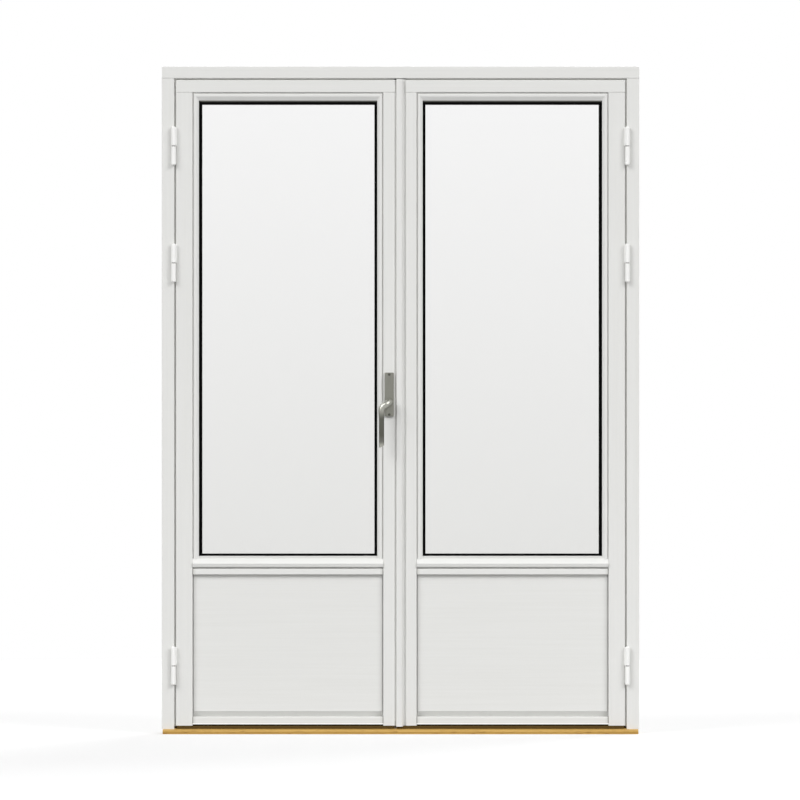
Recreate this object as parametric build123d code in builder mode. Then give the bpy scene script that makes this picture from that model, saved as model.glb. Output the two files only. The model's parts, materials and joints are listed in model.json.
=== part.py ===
from build123d import *
import os

os.makedirs("parts", exist_ok=True)

# A pair of outward-opening french doors in their frame, in millimetres.
# X runs along the doors, Y from the outside (negative) to the room, Z up from the floor.
# u is a distance from the middle of the doors, so the left door has x = -u.

# Frame
frame_width = 1490
frame_height = 2083
frame_depth = 105
jamb_face = 39
head_face = 37
edge_gap = 5
stop_overlap = 12
seal_gap = 4
edge_round = 2.5
fine_round = 1.5
fixing_hole_radius = 5
lower_fixing_height = 300
upper_fixing_drop = 383
fixing_inset = 22.5

# Sill
sill_nose = 16
sill_nose_height = 12
sill_top = 23.5
sill_slope_depth = 54
sill_end_inset = 3
sill_round = 4

# Door leaves
leaf_thickness = 56
leaf_bottom = 26
meeting_edge = 17
hinge_stile_face = 52
left_meeting_face = 37
right_meeting_face = 33.5
top_rail_face = 39
mid_rail_bottom = 497
mid_rail_top = 516
bottom_rail_bottom = 30
bottom_rail_top = 54
meeting_bevel = 3
rear_lip_depth = 15
rear_lip_width = 24
panel_recess = 12
panel_drip_height = 17
panel_drip_depth = 14
panel_groove_width = 3
panel_groove_depth = 8
panel_clearance = 1
bottom_seal_width = 32
bottom_seal_drop = 4

# Glazing
pane_thickness = 4
cavity = 16
gasket_thickness = 3
gasket_hidden = 7
hinge_gasket_show = 8.5
meeting_gasket_show = 7.5
top_gasket_show = 12
bottom_gasket_show = 7
pane_edge_clearance = 4
spacer_inset = 6
spacer_width = 8
hinge_bead_width = 21
meeting_bead_width = 20
top_bead_width = 25
bead_setback = 2
bead_groove_width = 5
bead_groove_depth = 6
bead_flat = 12
bead_fall = 6
nosing_rise = 39.5
nosing_ledge = 4.5
nosing_hollow = 2.5
nosing_ledge_height = 8
nosing_step = 2
nosing_lip_rise = 16
nosing_lip_height = 10.5
nosing_lip_fall = 2.5
nosing_undercut = 4
nosing_root = 9
nosing_overhang = 6

# Astragal on the right leaf
meeting_gap = 4
astragal_proud = 6
astragal_face = 17
astragal_groove_width = 6
astragal_groove_depth = 6
astragal_top_gap = 2
astragal_bottom = 26
meeting_seal_depth = 8
meeting_seal_setback = 4
soft_clearance = 0.3

# Weather strip in the gap between leaf and frame
strip_setback = 9
strip_depth = 8
strip_clearance = 0.8
strip_end_gap = 1

# Hinges
lower_hinge_height = 213
middle_hinge_drop = 613
upper_hinge_drop = 248
hinge_length = 120
knuckle_radius = 7.5
knuckle_standoff = 8.5
knuckle_dome = 2.5
knuckle_offset = 2
hinge_flag_thickness = 3
hinge_flag_depth = 36
washer_thickness = 2.5
washer_radius = 5.5
hinge_pin_radius = 4
hinge_pin_length = 90
running_clearance = 0.05

# Handle on the left leaf
handle_offset = 35
handle_height = 1036
plate_width = 28
plate_thickness = 8
plate_below_lever = 45
plate_above_lever = 92
plate_corner = 2.5
plate_edge_round = 2
plate_screw_inset = 6
plate_screw_radius = 3
plate_screw_depth = 20
spindle_size = 8
spindle_hole_radius = 6
spindle_grip = 16
lever_neck_radius = 10
lever_grip_radius = 8
lever_reach = 36
lever_sideways = 24
lever_dip = 18
lever_neck_drop = 28
lever_taper = 26
lever_length = 144
lever_bend = 16
lever_clearance = 0.3
lever_tip_rise = 9
lever_end_round = 2.5

# Bolts worked by the handle, and the right leaf's own edge bolts
lock_case_height = 160
lock_case_thickness = 14
lock_case_depth = 27
faceplate_thickness = 3
faceplate_width = 20
faceplate_height = 680
rod_offset = 30
rod_radius = 5
rod_bore_clearance = 0.3
rod_engaged = 25
rod_socket_depth = 45
rod_setback = 2
bolt_travel = 18
keep_hole_radius = 6
keep_thickness = 2
keep_width = 26
keep_length = 44
keep_hole_depth = 22
sill_keep_hole_depth = 14
edge_bolt_length = 290
edge_bolt_offset = 3
edge_bolt_plate_height = 120
edge_bolt_plate_width = 18
edge_bolt_slot_width = 8
edge_bolt_tab_width = 6
edge_bolt_tab_height = 12
edge_bolt_tab_rise = 60
edge_bolt_tab_proud = 1.5
slot_clearance = 1

# One overrun serves all through cuts
overrun = 5

# Places worked out from the sizes above
half_width = frame_width / 2
front_y = -frame_depth / 2
back_y = frame_depth / 2
leaf_back_y = front_y + leaf_thickness
leaf_middle_y = front_y + leaf_thickness / 2
stop_front_y = leaf_back_y + seal_gap
lip_front_y = leaf_back_y - rear_lip_depth
jamb_inner = half_width - jamb_face
leaf_edge = jamb_inner - edge_gap
stop_inner = leaf_edge - stop_overlap
head_under = frame_height - head_face
leaf_top = head_under - edge_gap
stop_under = leaf_top - stop_overlap
sill_upstand = leaf_bottom + stop_overlap
rail_under = leaf_top - top_rail_face
hinge_wall = leaf_edge - hinge_stile_face
hinge_lip = hinge_wall - rear_lip_width
inner_pane_back_y = lip_front_y - gasket_thickness
inner_pane_front_y = inner_pane_back_y - pane_thickness
outer_pane_back_y = inner_pane_front_y - cavity
outer_pane_front_y = outer_pane_back_y - pane_thickness
bead_back_y = outer_pane_front_y - gasket_thickness
bead_front_y = front_y + bead_setback
nosing_top = mid_rail_top + nosing_rise
hinge_bead_edge = hinge_wall - hinge_bead_width
top_bead_edge = rail_under - top_bead_width
sight_hinge = hinge_bead_edge - hinge_gasket_show
sight_top = top_bead_edge - top_gasket_show
sight_bottom = nosing_top + bottom_gasket_show
hinge_heights = (frame_height - upper_hinge_drop, frame_height - middle_hinge_drop, lower_hinge_height)
fixing_heights = (lower_fixing_height, frame_height - upper_fixing_drop)
axis_u = jamb_inner + knuckle_offset
axis_y = front_y - knuckle_standoff
sill_front_y = front_y - sill_nose
sill_slope_y = sill_front_y + sill_slope_depth
astragal_edge = meeting_edge - meeting_gap
astragal_top = head_under - astragal_top_gap
handle_x = -handle_offset
rod_x = -rod_offset
plate_bottom = handle_height - plate_below_lever
plate_top = handle_height + plate_above_lever
screw_places = [
    (handle_x, plate_bottom + plate_screw_inset),
    (handle_x, plate_top - plate_screw_inset),
]
case_bottom = handle_height - lock_case_height / 2
case_top = handle_height + lock_case_height / 2
case_inner = meeting_edge + meeting_bevel + faceplate_thickness
bevel_front = meeting_bevel * (leaf_thickness - faceplate_width) / 2 / leaf_thickness
bevel_back = meeting_bevel * (leaf_thickness + faceplate_width) / 2 / leaf_thickness

# The sill's section, which the jambs stand on
sill_outline = [
    (sill_front_y, 0),
    (back_y, 0),
    (back_y, sill_upstand),
    (stop_front_y, sill_upstand),
    (stop_front_y, sill_top),
    (sill_slope_y, sill_top),
    (sill_front_y, sill_nose_height),
]
sill_radii = [0, 0, fine_round, fine_round, 0, sill_round, sill_round]

# The bottom bead's section: a ledge at the glass, a fall to the weather and a drip below it
nosing_outline = [
    (bead_back_y, mid_rail_top),
    (bead_back_y, nosing_top),
    (bead_back_y - nosing_ledge, nosing_top),
    (bead_back_y - nosing_ledge + nosing_hollow, nosing_top - nosing_ledge_height),
    (bead_back_y - nosing_ledge - nosing_step, nosing_top - nosing_ledge_height),
    (front_y - nosing_overhang, mid_rail_top + nosing_lip_rise),
    (front_y - nosing_overhang + nosing_lip_fall, mid_rail_top + nosing_lip_rise - nosing_lip_height),
    (front_y, mid_rail_top + nosing_undercut),
    (front_y + nosing_root, mid_rail_top + nosing_undercut),
    (front_y + nosing_root, mid_rail_top),
]
nosing_radii = [0, 0, fine_round, 0, 0, edge_round, edge_round, 0, 0, 0]


def front_plane(y):
    """The elevation at y, seen from outside: local x is X and local y is Z."""
    return Plane.XZ.offset(-y)


def side_plane(x):
    """The cross section at x: local x is Y and local y is Z."""
    return Plane.YZ.offset(x)


def rounded_face(plane, points, radii):
    """A face on the plane with its own radius at each corner."""
    with BuildSketch(plane) as drawn:
        with BuildLine():
            FilletPolyline(*points, radius=radii, close=True)
        make_face()
    return drawn.sketch


def plain_face(plane, points):
    """A face on the plane with sharp corners."""
    with BuildSketch(plane) as drawn:
        with BuildLine():
            Polyline(*points, close=True)
        make_face()
    return drawn.sketch


def box_face(plane, low, high):
    """A rectangle on the plane between two opposite corners."""
    corners = [low, (high[0], low[1]), high, (low[0], high[1])]
    return plain_face(plane, corners)


def keep(built, name):
    """Labels a finished piece and writes it."""
    built.part.label = name
    export_step(built.part, f"parts/{name}.step")


# Sill: one hardwood board with a sloping top and an upstand behind the leaves
sill_half = half_width - sill_end_inset
keep_centres = (rod_x, edge_bolt_offset)
with BuildPart() as sill:
    extrude(rounded_face(side_plane(-sill_half), sill_outline, sill_radii), amount=2 * sill_half)
    sill_keep_top = sill_nose_height + (sill_top - sill_nose_height) * (
        leaf_middle_y - sill_front_y
    ) / sill_slope_depth
    for centre in keep_centres:
        with BuildSketch(Plane.XY.offset(sill_keep_top - sill_keep_hole_depth)):
            with Locations((centre, leaf_middle_y)):
                Circle(keep_hole_radius)
        extrude(amount=sill_keep_hole_depth + overrun, mode=Mode.SUBTRACT)
keep(sill, "sill")

# Head: runs the full width over the jambs, with a stop behind the leaves
head_outline = [
    (front_y, head_under),
    (front_y, frame_height),
    (back_y, frame_height),
    (back_y, stop_under),
    (stop_front_y, stop_under),
    (stop_front_y, head_under),
]
head_radii = [edge_round, fine_round, fine_round, fine_round, fine_round, 0]
with BuildPart() as frame_head:
    extrude(rounded_face(side_plane(-half_width), head_outline, head_radii), amount=frame_width)
    # The jambs' own stops stand under the head, so the head's stop ends between them
    for low, high in ((-half_width, -stop_inner), (stop_inner, half_width)):
        with BuildSketch(side_plane(low)):
            with Locations(((stop_front_y + back_y) / 2, stop_under)):
                Rectangle(back_y - stop_front_y, 2 * (head_under - stop_under))
        extrude(amount=high - low, mode=Mode.SUBTRACT)
    for centre in keep_centres:
        with BuildSketch(Plane.XY.offset(head_under)):
            with Locations((centre, leaf_middle_y)):
                Rectangle(keep_width, keep_length)
        extrude(amount=keep_thickness, mode=Mode.SUBTRACT)
        with BuildSketch(Plane.XY.offset(head_under)):
            with Locations((centre, leaf_middle_y)):
                Circle(keep_hole_radius)
        extrude(amount=keep_hole_depth, mode=Mode.SUBTRACT)
keep(frame_head, "frame_head")

# Keeps: steel plates let into the head, one over each bolt
with BuildPart() as bolt_keeps:
    for centre in keep_centres:
        with BuildSketch(Plane.XY.offset(head_under)):
            with Locations((centre, leaf_middle_y)):
                Rectangle(keep_width, keep_length)
                Circle(keep_hole_radius, mode=Mode.SUBTRACT)
        extrude(amount=keep_thickness)
keep(bolt_keeps, "bolt_keeps")

# Frame seal: a bulb strip on the stops, all round behind the leaves
seal_front_y = leaf_back_y + soft_clearance
with BuildPart() as frame_seal:
    with BuildSketch(front_plane(stop_front_y)):
        with Locations((0, (leaf_top + leaf_bottom) / 2)):
            Rectangle(2 * leaf_edge, leaf_top - leaf_bottom)
            Rectangle(2 * stop_inner, stop_under - sill_upstand, mode=Mode.SUBTRACT)
    extrude(amount=stop_front_y - seal_front_y)
keep(frame_seal, "frame_seal")

# Weather strip: a pale rubber strip on the jambs and the head, a little way into the gap
strip_width = edge_gap - strip_clearance
strip_back_y = front_y + strip_setback + strip_depth
strip_end = meeting_edge + strip_end_gap
with BuildPart() as weather_strip:
    for low, high in (
        ((-jamb_inner, sill_top), (-jamb_inner + strip_width, head_under)),
        ((jamb_inner - strip_width, sill_top), (jamb_inner, head_under)),
        ((-jamb_inner, head_under - strip_width), (-strip_end, head_under)),
        ((strip_end, head_under - strip_width), (jamb_inner, head_under)),
    ):
        extrude(box_face(front_plane(strip_back_y), low, high), amount=strip_depth)
keep(weather_strip, "weather_strip")

hinge_half = (hinge_length - washer_thickness) / 2
flag_height = hinge_half - knuckle_dome
flag_rise = (washer_thickness + flag_height) / 2
flag_back_y = front_y + hinge_flag_depth

for side, hand, meeting_face in ((-1, "left", left_meeting_face), (1, "right", right_meeting_face)):
    axis_x = side * axis_u
    meeting_wall = meeting_edge + meeting_face
    meeting_lip = meeting_wall + rear_lip_width
    meeting_bead_edge = meeting_wall + meeting_bead_width
    sight_meeting = meeting_bead_edge + meeting_gasket_show
    low_x, high_x = sorted((side * meeting_edge, side * leaf_edge))
    wall_low_x, wall_high_x = sorted((side * meeting_wall, side * hinge_wall))
    lip_low_x, lip_high_x = sorted((side * meeting_lip, side * hinge_lip))
    sight_low_x, sight_high_x = sorted((side * sight_meeting, side * sight_hinge))
    hidden_low_x, hidden_high_x = sorted(
        (side * (meeting_bead_edge - gasket_hidden), side * (hinge_bead_edge + gasket_hidden))
    )

    # Jamb: rebated for the leaf, scribed over the sill, with holes for the wall screws
    jamb_outline = [
        (side * half_width, front_y),
        (side * jamb_inner, front_y),
        (side * jamb_inner, stop_front_y),
        (side * stop_inner, stop_front_y),
        (side * stop_inner, back_y),
        (side * half_width, back_y),
    ]
    jamb_radii = [fine_round, edge_round, 0, fine_round, fine_round, fine_round]
    with BuildPart() as jamb:
        extrude(rounded_face(Plane.XY, jamb_outline, jamb_radii), amount=head_under)
        extrude(
            plain_face(side_plane(-half_width - overrun), sill_outline),
            amount=frame_width + 2 * overrun,
            mode=Mode.SUBTRACT,
        )
        for height in hinge_heights:
            with BuildSketch(front_plane(flag_back_y)):
                with Locations((side * (jamb_inner + hinge_flag_thickness / 2), height - flag_rise)):
                    Rectangle(hinge_flag_thickness, flag_height)
            extrude(amount=flag_back_y - front_y + overrun, mode=Mode.SUBTRACT)
        for height in fixing_heights:
            with BuildSketch(side_plane(side * half_width)):
                with Locations((back_y - fixing_inset, height)):
                    Circle(fixing_hole_radius)
            extrude(amount=half_width - stop_inner + overrun, both=True, mode=Mode.SUBTRACT)
    keep(jamb, f"{hand}_jamb")

    # Hinge stile: full height under the top rail, with a lip behind the glass and panel
    hinge_stile_outline = [
        (side * leaf_edge, front_y),
        (side * hinge_wall, front_y),
        (side * hinge_wall, lip_front_y),
        (side * hinge_lip, lip_front_y),
        (side * hinge_lip, leaf_back_y),
        (side * leaf_edge, leaf_back_y),
    ]
    stile_radii = [edge_round, fine_round, 0, fine_round, fine_round, fine_round]
    with BuildPart() as hinge_stile:
        extrude(
            rounded_face(Plane.XY.offset(leaf_bottom), hinge_stile_outline, stile_radii),
            amount=rail_under - leaf_bottom,
        )
        for height in hinge_heights:
            with BuildSketch(front_plane(flag_back_y)):
                with Locations((side * (leaf_edge - hinge_flag_thickness / 2), height + flag_rise)):
                    Rectangle(hinge_flag_thickness, flag_height)
            extrude(amount=flag_back_y - front_y + overrun, mode=Mode.SUBTRACT)
    keep(hinge_stile, f"{hand}_hinge_stile")

    # Meeting stile: its edge falls back towards the room so that the leaf swings clear
    meeting_stile_outline = [
        (side * meeting_edge, front_y),
        (side * meeting_wall, front_y),
        (side * meeting_wall, lip_front_y),
        (side * meeting_lip, lip_front_y),
        (side * meeting_lip, leaf_back_y),
        (side * (meeting_edge + (meeting_bevel if side < 0 else 0)), leaf_back_y),
    ]
    with BuildPart() as meeting_stile:
        extrude(
            rounded_face(Plane.XY.offset(leaf_bottom), meeting_stile_outline, stile_radii),
            amount=rail_under - leaf_bottom,
        )
        if side < 0:
            # Mortise and bores for the lock, its rods and the spindle
            extrude(
                box_face(
                    front_plane(leaf_middle_y + lock_case_thickness / 2),
                    (-case_inner - lock_case_depth, case_bottom),
                    (-case_inner, case_top),
                ),
                amount=lock_case_thickness,
                mode=Mode.SUBTRACT,
            )
            extrude(
                box_face(
                    front_plane(leaf_middle_y + faceplate_width / 2),
                    (-case_inner, handle_height - faceplate_height / 2),
                    (0, handle_height + faceplate_height / 2),
                ),
                amount=faceplate_width,
                mode=Mode.SUBTRACT,
            )
            with BuildSketch(Plane.XY.offset(leaf_bottom)):
                with Locations((rod_x, leaf_middle_y)):
                    Circle(rod_radius + rod_bore_clearance)
            extrude(amount=rail_under - leaf_bottom, mode=Mode.SUBTRACT)
            with BuildSketch(front_plane(leaf_middle_y)):
                with Locations((handle_x, handle_height)):
                    Circle(spindle_hole_radius)
            extrude(amount=leaf_thickness, both=True, mode=Mode.SUBTRACT)
            for face_y in (front_y, leaf_back_y):
                with BuildSketch(front_plane(face_y)):
                    with Locations(*screw_places):
                        Circle(plate_screw_radius)
                extrude(amount=plate_screw_depth - plate_thickness, both=True, mode=Mode.SUBTRACT)
    keep(meeting_stile, f"{hand}_meeting_stile")

    # Top rail: runs over both stiles, with the glass lip between them
    with BuildPart() as top_rail:
        extrude(
            rounded_face(
                side_plane(low_x),
                [
                    (front_y, rail_under),
                    (front_y, leaf_top),
                    (leaf_back_y, leaf_top),
                    (leaf_back_y, rail_under),
                ],
                [edge_round, edge_round, fine_round, 0],
            ),
            amount=high_x - low_x,
        )
        extrude(
            box_face(
                side_plane(lip_low_x),
                (lip_front_y, rail_under - rear_lip_width),
                (leaf_back_y, rail_under),
            ),
            amount=lip_high_x - lip_low_x,
        )
        if side < 0:
            with BuildSketch(Plane.XY.offset(rail_under)):
                with Locations((rod_x, leaf_middle_y)):
                    Circle(rod_radius + rod_bore_clearance)
            extrude(amount=top_rail_face, mode=Mode.SUBTRACT)
            extrude(
                plain_face(
                    Plane.XY.offset(rail_under),
                    [
                        (-meeting_edge, front_y),
                        (0, front_y),
                        (0, leaf_back_y),
                        (-meeting_edge - meeting_bevel, leaf_back_y),
                    ],
                ),
                amount=top_rail_face,
                mode=Mode.SUBTRACT,
            )
    keep(top_rail, f"{hand}_top_rail")

    # Mid rail: carries the glass above and the panel below
    with BuildPart() as mid_rail:
        extrude(
            rounded_face(
                side_plane(wall_low_x),
                [
                    (front_y, mid_rail_bottom),
                    (front_y, mid_rail_top),
                    (lip_front_y, mid_rail_top),
                    (lip_front_y, mid_rail_bottom),
                ],
                [edge_round, fine_round, 0, 0],
            ),
            amount=wall_high_x - wall_low_x,
        )
        extrude(
            box_face(
                side_plane(lip_low_x),
                (lip_front_y, mid_rail_bottom - rear_lip_width),
                (leaf_back_y, nosing_top),
            ),
            amount=lip_high_x - lip_low_x,
        )
    keep(mid_rail, f"{hand}_mid_rail")

    # Bottom rail: the panel stands on it
    with BuildPart() as bottom_rail:
        extrude(
            rounded_face(
                side_plane(wall_low_x),
                [
                    (front_y, bottom_rail_bottom),
                    (front_y, bottom_rail_top),
                    (lip_front_y, bottom_rail_top),
                    (lip_front_y, bottom_rail_bottom),
                ],
                [fine_round, edge_round, 0, 0],
            ),
            amount=wall_high_x - wall_low_x,
        )
        extrude(
            box_face(
                side_plane(lip_low_x),
                (lip_front_y, bottom_rail_bottom),
                (leaf_back_y, bottom_rail_top + rear_lip_width),
            ),
            amount=lip_high_x - lip_low_x,
        )
    keep(bottom_rail, f"{hand}_bottom_rail")

    # Bottom seal: a black rubber strip under the bottom rail
    with BuildPart() as bottom_seal:
        extrude(
            box_face(
                side_plane(wall_low_x),
                (lip_front_y - bottom_seal_width, bottom_rail_bottom - bottom_seal_drop),
                (lip_front_y, bottom_rail_bottom),
            ),
            amount=wall_high_x - wall_low_x,
        )
    keep(bottom_seal, f"{hand}_bottom_seal")

    # Lower panel: recessed, with a drip bevel along its foot and a groove at each side
    panel_front_y = front_y + panel_recess
    with BuildPart() as panel:
        extrude(
            plain_face(
                side_plane(wall_low_x),
                [
                    (panel_front_y, bottom_rail_top + panel_drip_height),
                    (panel_front_y, mid_rail_bottom - panel_clearance),
                    (lip_front_y, mid_rail_bottom - panel_clearance),
                    (lip_front_y, bottom_rail_top),
                    (panel_front_y + panel_drip_depth, bottom_rail_top),
                ],
            ),
            amount=wall_high_x - wall_low_x,
        )
        for groove_low_x in (wall_low_x, wall_high_x - panel_groove_width):
            extrude(
                box_face(
                    front_plane(panel_front_y + panel_groove_depth),
                    (groove_low_x, bottom_rail_top),
                    (groove_low_x + panel_groove_width, mid_rail_bottom),
                ),
                amount=panel_groove_depth,
                mode=Mode.SUBTRACT,
            )
    keep(panel, f"{hand}_panel")

    # Bottom bead: the weathered nosing under the glass
    with BuildPart() as bottom_bead:
        extrude(
            rounded_face(side_plane(wall_low_x), nosing_outline, nosing_radii),
            amount=wall_high_x - wall_low_x,
        )
    keep(bottom_bead, f"{hand}_bottom_bead")

    # Side beads: mitred at the top and scribed over the nosing
    for wall, bead_inner, inwards, place in (
        (hinge_wall, hinge_bead_edge, -1, "hinge"),
        (meeting_wall, meeting_bead_edge, 1, "meeting"),
    ):
        bead_outline = [
            (side * wall, bead_back_y),
            (side * wall, bead_front_y + bead_groove_depth),
            (side * (wall + inwards * bead_groove_width), bead_front_y),
            (side * (wall + inwards * bead_flat), bead_front_y),
            (side * bead_inner, bead_front_y + bead_fall),
            (side * bead_inner, bead_back_y),
        ]
        bead_foot = mid_rail_top + nosing_lip_rise
        with BuildPart() as side_bead:
            extrude(
                rounded_face(
                    Plane.XY.offset(bead_foot),
                    bead_outline,
                    [0, 0, fine_round, fine_round, fine_round, 0],
                ),
                amount=rail_under - bead_foot,
            )
            mitre = [
                (side * wall, bead_foot),
                (side * wall, rail_under),
                (side * bead_inner, top_bead_edge),
                (side * bead_inner, bead_foot),
            ]
            extrude(plain_face(front_plane(bead_back_y), mitre), amount=leaf_thickness, mode=Mode.INTERSECT)
            extrude(
                plain_face(side_plane(wall_low_x), nosing_outline),
                amount=wall_high_x - wall_low_x,
                mode=Mode.SUBTRACT,
            )
        keep(side_bead, f"{hand}_{place}_bead")

    # Top bead
    top_bead_outline = [
        (bead_back_y, rail_under),
        (bead_front_y + bead_groove_depth, rail_under),
        (bead_front_y, rail_under - bead_groove_width),
        (bead_front_y, rail_under - bead_flat),
        (bead_front_y + bead_fall, top_bead_edge),
        (bead_back_y, top_bead_edge),
    ]
    with BuildPart() as top_bead:
        extrude(
            rounded_face(
                side_plane(wall_low_x),
                top_bead_outline,
                [0, 0, fine_round, fine_round, fine_round, 0],
            ),
            amount=wall_high_x - wall_low_x,
        )
        mitre = [
            (side * meeting_wall, rail_under),
            (side * meeting_bead_edge, top_bead_edge),
            (side * hinge_bead_edge, top_bead_edge),
            (side * hinge_wall, rail_under),
        ]
        extrude(plain_face(front_plane(bead_back_y), mitre), amount=leaf_thickness, mode=Mode.INTERSECT)
    keep(top_bead, f"{hand}_top_bead")

    # Sealed glass unit: two panes, a spacer between them and a gasket on each face
    pane_low = (wall_low_x + pane_edge_clearance, mid_rail_top + pane_edge_clearance)
    pane_high = (wall_high_x - pane_edge_clearance, rail_under - pane_edge_clearance)
    pane_width = pane_high[0] - pane_low[0]
    pane_height = pane_high[1] - pane_low[1]
    pane_centre = ((pane_low[0] + pane_high[0]) / 2, (pane_low[1] + pane_high[1]) / 2)
    for back_face_y, name in ((outer_pane_back_y, "outer"), (inner_pane_back_y, "inner")):
        with BuildPart() as pane:
            extrude(box_face(front_plane(back_face_y), pane_low, pane_high), amount=pane_thickness)
        keep(pane, f"{hand}_{name}_pane")
    with BuildPart() as spacer:
        with BuildSketch(front_plane(inner_pane_front_y)):
            with Locations(pane_centre):
                Rectangle(pane_width - 2 * spacer_inset, pane_height - 2 * spacer_inset)
                Rectangle(
                    pane_width - 2 * (spacer_inset + spacer_width),
                    pane_height - 2 * (spacer_inset + spacer_width),
                    mode=Mode.SUBTRACT,
                )
        extrude(amount=cavity)
    keep(spacer, f"{hand}_spacer")
    for back_face_y, name in ((outer_pane_front_y, "outer"), (lip_front_y, "inner")):
        with BuildPart() as gasket:
            extrude(
                box_face(
                    front_plane(back_face_y),
                    (hidden_low_x, nosing_top - gasket_hidden),
                    (hidden_high_x, top_bead_edge + gasket_hidden),
                ),
                amount=gasket_thickness,
            )
            extrude(
                box_face(front_plane(back_face_y), (sight_low_x, sight_bottom), (sight_high_x, sight_top)),
                amount=gasket_thickness,
                mode=Mode.SUBTRACT,
            )
        keep(gasket, f"{hand}_{name}_gasket")

    # Hinges: the lower half and its pin stay on the frame, the upper half lifts with the leaf
    for flag_u, half_side, carrier in (
        (jamb_inner + hinge_flag_thickness / 2, -1, "frame"),
        (leaf_edge - hinge_flag_thickness / 2, 1, "leaf"),
    ):
        pin_clearance = running_clearance if carrier == "leaf" else 0
        with BuildPart() as hinge_halves:
            for height in hinge_heights:
                with BuildSketch(Plane.XY.offset(height + half_side * washer_thickness / 2)):
                    with Locations((axis_x, axis_y)):
                        Circle(knuckle_radius)
                extrude(amount=half_side * hinge_half)
                tip = hinge_halves.faces(Select.LAST).sort_by(Axis.Z)[-1 if half_side > 0 else 0]
                chamfer(tip.edges(), length=knuckle_dome)
            for height in hinge_heights:
                with BuildSketch(front_plane(flag_back_y)):
                    with Locations((side * flag_u, height + half_side * flag_rise)):
                        Rectangle(hinge_flag_thickness, flag_height)
                extrude(amount=flag_back_y - axis_y)
                # The flag is cranked over to the knuckle in front of the gap
                crank_u = sorted((flag_u - hinge_flag_thickness / 2, axis_u))
                with BuildSketch(front_plane(axis_y + hinge_flag_thickness)):
                    with Locations((side * sum(crank_u) / 2, height + half_side * flag_rise)):
                        Rectangle(crank_u[1] - crank_u[0], flag_height)
                extrude(amount=hinge_flag_thickness)
                with BuildSketch(Plane.XY.offset(height)):
                    with Locations((axis_x, axis_y)):
                        Circle(hinge_pin_radius + pin_clearance)
                extrude(
                    amount=half_side * (hinge_pin_length / 2 + pin_clearance),
                    mode=Mode.SUBTRACT,
                )
        keep(hinge_halves, f"{hand}_{carrier}_hinges")

# Hinge pins, pressed in the lower halves
with BuildPart() as hinge_pins:
    for side in (-1, 1):
        for height in hinge_heights:
            with BuildSketch(Plane.XY.offset(height - hinge_pin_length / 2)):
                with Locations((side * axis_u, axis_y)):
                    Circle(hinge_pin_radius)
            extrude(amount=hinge_pin_length)
keep(hinge_pins, "hinge_pins")

# Bearing washers between the hinge halves
with BuildPart() as hinge_washers:
    for side in (-1, 1):
        for height in hinge_heights:
            with BuildSketch(Plane.XY.offset(height - washer_thickness / 2)):
                with Locations((side * axis_u, axis_y)):
                    Circle(washer_radius)
                    Circle(hinge_pin_radius, mode=Mode.SUBTRACT)
            extrude(amount=washer_thickness)
keep(hinge_washers, "hinge_washers")

# Astragal: the moulded post on the right leaf's edge that the left leaf closes against
lower_bolt_foot = astragal_bottom + rod_setback
upper_bolt_foot = astragal_top - rod_setback - edge_bolt_length
edge_bolt_tabs = (
    lower_bolt_foot + edge_bolt_length - edge_bolt_tab_rise,
    upper_bolt_foot + edge_bolt_tab_rise,
)
astragal_front_y = front_y - astragal_proud
astragal_outline = [
    (-astragal_edge, astragal_front_y),
    (-astragal_edge + astragal_face, astragal_front_y),
    (meeting_edge - astragal_groove_width, front_y + astragal_groove_depth),
    (meeting_edge, front_y + astragal_groove_depth),
    (meeting_edge, leaf_back_y),
    (-astragal_edge, leaf_back_y),
]
with BuildPart() as astragal:
    extrude(
        rounded_face(
            Plane.XY.offset(astragal_bottom),
            astragal_outline,
            [edge_round, edge_round, 0, 0, 0, fine_round],
        ),
        amount=astragal_top - astragal_bottom,
    )
    with BuildSketch(Plane.XY.offset(astragal_bottom)):
        with Locations((edge_bolt_offset, leaf_middle_y)):
            Circle(rod_radius + rod_bore_clearance)
    extrude(amount=astragal_top - astragal_bottom, mode=Mode.SUBTRACT)
    for tab_z in edge_bolt_tabs:
        with BuildSketch(side_plane(-astragal_edge)):
            with Locations((leaf_middle_y, tab_z)):
                Rectangle(edge_bolt_plate_width, edge_bolt_plate_height)
        extrude(amount=faceplate_thickness, mode=Mode.SUBTRACT)
        with BuildSketch(side_plane(-astragal_edge)):
            with Locations((leaf_middle_y, tab_z)):
                Rectangle(
                    edge_bolt_slot_width,
                    edge_bolt_tab_height + 2 * (bolt_travel + slot_clearance),
                )
        extrude(amount=astragal_edge + edge_bolt_offset, mode=Mode.SUBTRACT)
keep(astragal, "astragal")

# Meeting seal on the astragal, near the face, where the left leaf's edge barely moves sideways
with BuildPart() as meeting_seal:
    extrude(
        box_face(
            front_plane(front_y + meeting_seal_setback + meeting_seal_depth),
            (-meeting_edge + soft_clearance, astragal_bottom),
            (-astragal_edge, leaf_top),
        ),
        amount=meeting_seal_depth,
    )
keep(meeting_seal, "meeting_seal")

# Edge bolts of the right leaf, each with a thumb tab, and their slotted plates
with BuildPart() as edge_bolt_plates:
    for tab_z in edge_bolt_tabs:
        with BuildSketch(side_plane(-astragal_edge)):
            with Locations((leaf_middle_y, tab_z)):
                Rectangle(edge_bolt_plate_width, edge_bolt_plate_height)
                Rectangle(
                    edge_bolt_slot_width,
                    edge_bolt_tab_height + 2 * (bolt_travel + slot_clearance),
                    mode=Mode.SUBTRACT,
                )
        extrude(amount=faceplate_thickness)
keep(edge_bolt_plates, "edge_bolt_plates")

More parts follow.
